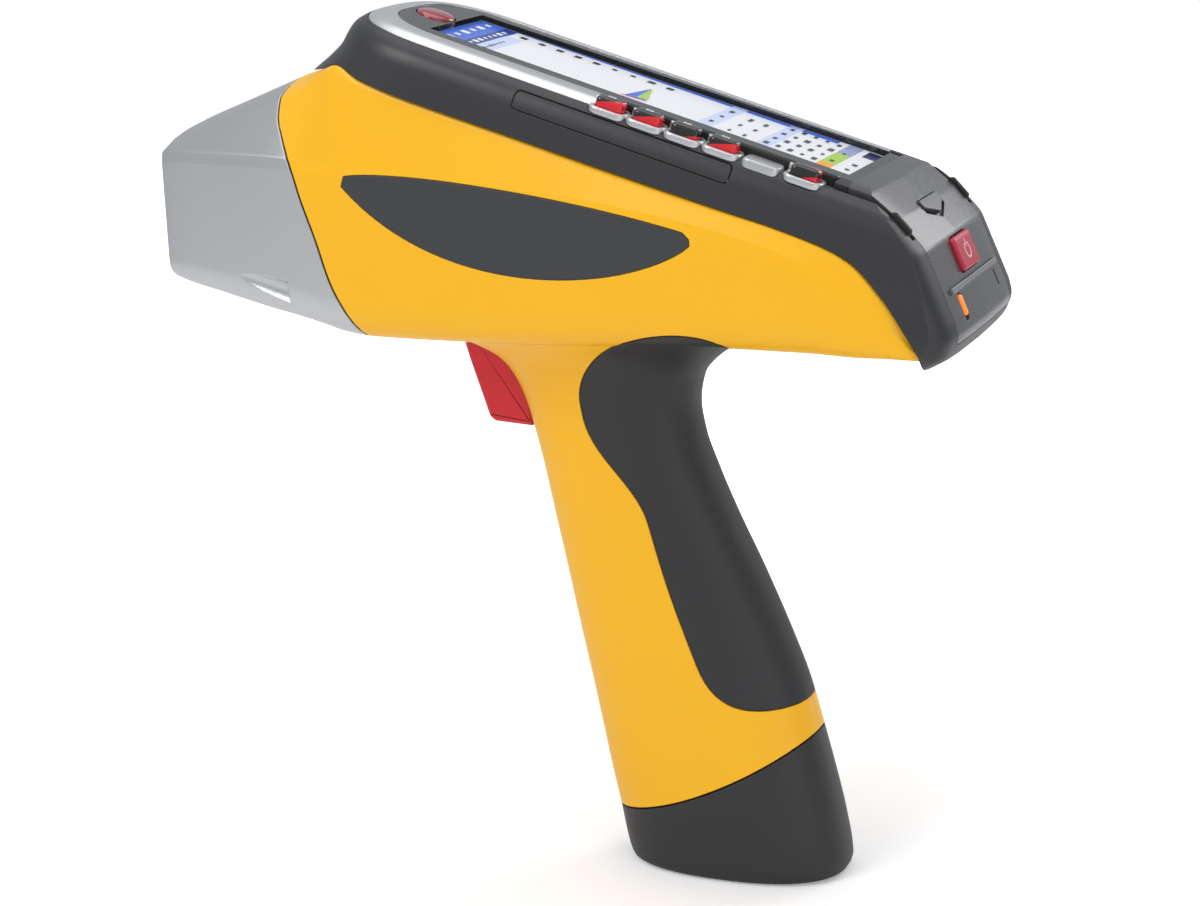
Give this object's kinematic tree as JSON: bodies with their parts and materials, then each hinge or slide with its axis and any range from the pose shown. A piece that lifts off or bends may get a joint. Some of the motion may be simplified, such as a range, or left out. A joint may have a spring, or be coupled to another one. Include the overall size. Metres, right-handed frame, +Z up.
{
  "type": "handheld x-ray fluorescence analyzer",
  "caption": "Pistol-grip handheld XRF analyzer that stands on its battery base, with a cast metal nose, yellow clamshell housing, red trigger and sloping touch screen.",
  "frame": {"origin": "on the floor under the middle of the overall box, with the instrument standing upright on its battery base", "axes": "+X from the nose to the rear cover, +Y to the operator's right, +Z up"},
  "size_m": [0.254, 0.082, 0.262],
  "materials": {
    "cast_nose": "satin bead-blasted",
    "seal_rubber": "matte",
    "dark_plate": "dark anodised",
    "window_film": "thin amber film",
    "screw_steel": "bright",
    "yellow_plastic": "fine satin texture",
    "badge_plastic": "satin",
    "grip_rubber": "soft matte",
    "black_plastic": "fine satin texture",
    "silver_bezel": "silver paint",
    "screen_glass": "clear, polished",
    "display": "lit screen",
    "black_metal": "black coated",
    "red_button": "semi-gloss",
    "dark_button": "semi-gloss",
    "gloss_black": "semi-gloss",
    "light_pipe": "translucent",
    "orange_lamp": "lit",
    "red_trigger": "satin",
    "pin_steel": "bright",
    "cell_can": "shrink-wrapped can",
    "contact_brass": "bright",
    "chassis_metal": "plain",
    "supply_case": "grey enamel",
    "tube_can": "plain",
    "detector_can": "polished",
    "board": "solder mask"
  },
  "bodies": {
    "instrument": {"nose_shell": "cast_nose", "nose_gasket": "seal_rubber", "window_plate": "dark_plate", "window_film": "window_film", "window_screws": "screw_steel", "housing_left": "yellow_plastic", "housing_right": "yellow_plastic", "housing_screws": "screw_steel", "side_badge": "badge_plastic", "grip_cover": "grip_rubber", "cradle": "black_plastic", "port_pin": "pin_steel", "bezel": "silver_bezel", "screen_glass": "screen_glass", "display_panel": "display", "handheld_computer": "black_metal", "rear_cover": "gloss_black", "light_bar": "light_pipe", "status_lamp": "orange_lamp", "trigger_pin": "pin_steel", "trigger_spring": "pin_steel", "trigger_switch": "black_plastic", "contact_block": "black_plastic", "chassis": "chassis_metal", "beam_head": "chassis_metal", "xray_tube": "tube_can", "detector": "detector_can", "wheel_motor": "tube_can", "high_voltage_supply": "supply_case", "main_board": "board", "heat_sink": "chassis_metal"},
    "battery": {"battery_base": "black_plastic", "battery_cells": "cell_can", "battery_contacts": "contact_brass"},
    "trigger_lever": {"trigger": "red_trigger"},
    "port_flap": {"port_cover": "black_plastic"},
    "latch": {"cover_latch": "black_plastic"},
    "power_key": {"power_button": "red_button"},
    "front_key": {"front_button": "red_button"},
    "wheel": {"filter_wheel": "chassis_metal"},
    "side_key_1": {"side_button_1": "red_button"},
    "side_key_2": {"side_button_2": "red_button"},
    "side_key_3": {"side_button_3": "dark_button"},
    "side_key_4": {"side_button_4": "red_button"},
    "side_key_5": {"side_button_5": "red_button"}
  },
  "joints": [
    {"name": "trigger_pull", "type": "hinge", "parent": "instrument", "child": "trigger_lever", "pos_m": [-0.031, 0, 0.1735], "axis": [0, -1, 0], "range_deg": [0, 9], "stiffness_Nm_per_rad": 0.6, "springref_deg": -8.59},
    {"name": "side_press_1", "type": "slide", "parent": "instrument", "child": "side_key_1", "axis": [-0.299, 0, -0.9542], "range_m": [0, 0.0008], "stiffness_N_per_m": 300, "springref_m": -0.0008},
    {"name": "side_press_2", "type": "slide", "parent": "instrument", "child": "side_key_2", "axis": [-0.299, 0, -0.9542], "range_m": [0, 0.0008], "stiffness_N_per_m": 300, "springref_m": -0.0008},
    {"name": "side_press_3", "type": "slide", "parent": "instrument", "child": "side_key_3", "axis": [-0.299, 0, -0.9542], "range_m": [0, 0.0008], "stiffness_N_per_m": 300, "springref_m": -0.0008},
    {"name": "side_press_4", "type": "slide", "parent": "instrument", "child": "side_key_4", "axis": [-0.299, 0, -0.9542], "range_m": [0, 0.0008], "stiffness_N_per_m": 300, "springref_m": -0.0008},
    {"name": "side_press_5", "type": "slide", "parent": "instrument", "child": "side_key_5", "axis": [-0.299, 0, -0.9542], "range_m": [0, 0.0008], "stiffness_N_per_m": 300, "springref_m": -0.0008},
    {"name": "front_press", "type": "slide", "parent": "instrument", "child": "front_key", "axis": [-0.299, 0, -0.9542], "range_m": [0, 0.0008], "stiffness_N_per_m": 300, "springref_m": -0.0008},
    {"name": "power_press", "type": "slide", "parent": "instrument", "child": "power_key", "axis": [-0.9252, 0, -0.3795], "range_m": [0, 0.0006], "stiffness_N_per_m": 400, "springref_m": -0.0008},
    {"name": "latch_slide", "type": "slide", "parent": "instrument", "child": "latch", "axis": [0.7157, 0, -0.6984], "range_m": [0, 0.0012]},
    {"name": "port_swing", "type": "hinge", "parent": "instrument", "child": "port_flap", "pos_m": [0.03076, -0.03589, 0.22775], "axis": [0.9542, 0, -0.299], "range_deg": [0, 95]},
    {"name": "battery_slide", "type": "slide", "parent": "instrument", "child": "battery", "axis": [0.2334, 0, -0.9724], "range_m": [0, 0.085]},
    {"name": "filter_spin", "type": "hinge", "parent": "instrument", "child": "wheel", "pos_m": [-0.1108, 0, 0.1935], "axis": [1, 0, 0], "continuous": true}
  ]
}
